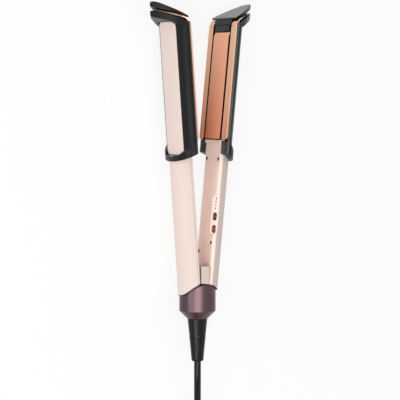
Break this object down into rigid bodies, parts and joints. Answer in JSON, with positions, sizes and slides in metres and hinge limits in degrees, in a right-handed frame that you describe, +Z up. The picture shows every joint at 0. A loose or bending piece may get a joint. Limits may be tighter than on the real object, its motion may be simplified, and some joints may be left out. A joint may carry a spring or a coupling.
{
  "type": "hair straightener",
  "caption": "Hair straightener with two hinged arms held open by a spring, floating heated plates between flared heads, push buttons on one arm and a mains lead on a swivel.",
  "frame": {"origin": "middle of the base of the box round the straightener without its lead, lying on its side", "axes": "+Y runs along the tool from the lead's end towards the tips, +X to the arm with the buttons, +Z up from the surface it lies on"},
  "size_m": [0.1554, 0.5813, 0.0618],
  "materials": {
    "pale_shell": "satin",
    "dark_frame": "matt",
    "cap_grey": "matt",
    "rose_gold": "satin",
    "hub_coat": "metallic satin",
    "steel": "satin",
    "blackened_steel": "satin",
    "contact_brass": "satin",
    "ceramic_heater": "matt",
    "carrier_plastic": "matt",
    "button_red": "gloss",
    "lens_dark": "gloss",
    "board_green": "satin",
    "switch_black": "matt",
    "lead_red": "satin",
    "cord_black": "matt"
  },
  "bodies": {
    "hub": {"hub_shell": "hub_coat", "hinge_block": "pale_shell", "hinge_pin": "steel", "block_screws": "steel", "opening_spring": "steel", "swivel_washer": "steel", "contact_fingers": "contact_brass", "plug_body": "cord_black", "plug_pins": "contact_brass", "cord_free": "cord_black", "cord_coil": "cord_black", "cord_tail": "cord_black", "cord_tie": "cord_black"},
    "cord_swivel": {"swivel_neck": "cord_black", "strain_relief": "cord_black", "contact_rings": "contact_brass"},
    "left_arm": {"left_grip_shell": "pale_shell", "left_grip_cover": "pale_shell", "left_hinge_bracket": "steel", "left_bracket_screws": "steel", "left_cover_screws": "blackened_steel", "left_head_frame": "dark_frame", "left_back_panel": "pale_shell", "left_rail_liner": "rose_gold", "left_tip_cap": "cap_grey", "left_tip_block": "dark_frame", "left_plate_stop": "dark_frame", "left_plate_springs": "steel", "left_heater_leads": "lead_red"},
    "right_arm": {"right_grip_shell": "pale_shell", "right_grip_cover": "pale_shell", "right_hinge_bracket": "steel", "right_bracket_screws": "steel", "right_cover_screws": "blackened_steel", "right_head_frame": "dark_frame", "right_back_panel": "pale_shell", "right_rail_liner": "rose_gold", "right_tip_cap": "cap_grey", "right_tip_block": "dark_frame", "right_plate_stop": "dark_frame", "right_plate_springs": "steel", "right_heater_leads": "lead_red", "control_bezel": "pale_shell", "light_lenses": "lens_dark", "control_board": "board_green", "button_switches": "switch_black"},
    "left_plate_unit": {"left_plate": "rose_gold", "left_heater": "ceramic_heater", "left_plate_carrier": "carrier_plastic"},
    "right_plate_unit": {"right_plate": "rose_gold", "right_heater": "ceramic_heater", "right_plate_carrier": "carrier_plastic"},
    "mode_button": {"mode_button": "button_red"},
    "power_button": {"power_button": "button_red"}
  },
  "joints": [
    {"name": "right_arm_hinge", "type": "hinge", "parent": "hub", "child": "right_arm", "pos_m": [-0.00371, -0.11763, 0.031], "axis": [0, 0, 1], "range_deg": [0, 5.75], "stiffness_Nm_per_rad": 0.8, "springref_deg": -8.59},
    {"name": "left_arm_hinge", "type": "hinge", "parent": "hub", "child": "left_arm", "pos_m": [-0.00371, -0.11763, 0.031], "axis": [0, 0, -1], "range_deg": [0, 4.3], "stiffness_Nm_per_rad": 0.8, "springref_deg": -8.59},
    {"name": "right_plate_float", "type": "slide", "parent": "right_arm", "child": "right_plate_unit", "axis": [0.995, -0.1002, 0], "range_m": [0, 0.001], "stiffness_N_per_m": 3000, "springref_m": -0.001},
    {"name": "left_plate_float", "type": "slide", "parent": "left_arm", "child": "left_plate_unit", "axis": [-0.9972, -0.075, 0], "range_m": [0, 0.001], "stiffness_N_per_m": 3000, "springref_m": -0.001},
    {"name": "mode_button_press", "type": "slide", "parent": "right_arm", "child": "mode_button", "axis": [0.844, -0.0828, -0.5299], "range_m": [0, 0.0006], "stiffness_N_per_m": 1200, "springref_m": -0.0005},
    {"name": "power_button_press", "type": "slide", "parent": "right_arm", "child": "power_button", "axis": [0.844, -0.0828, -0.5299], "range_m": [0, 0.0006], "stiffness_N_per_m": 1200, "springref_m": -0.0005},
    {"name": "cord_swivel_turn", "type": "hinge", "parent": "hub", "child": "cord_swivel", "pos_m": [-0.00371, -0.13663, 0.031], "axis": [0, 1, 0], "continuous": true}
  ]
}
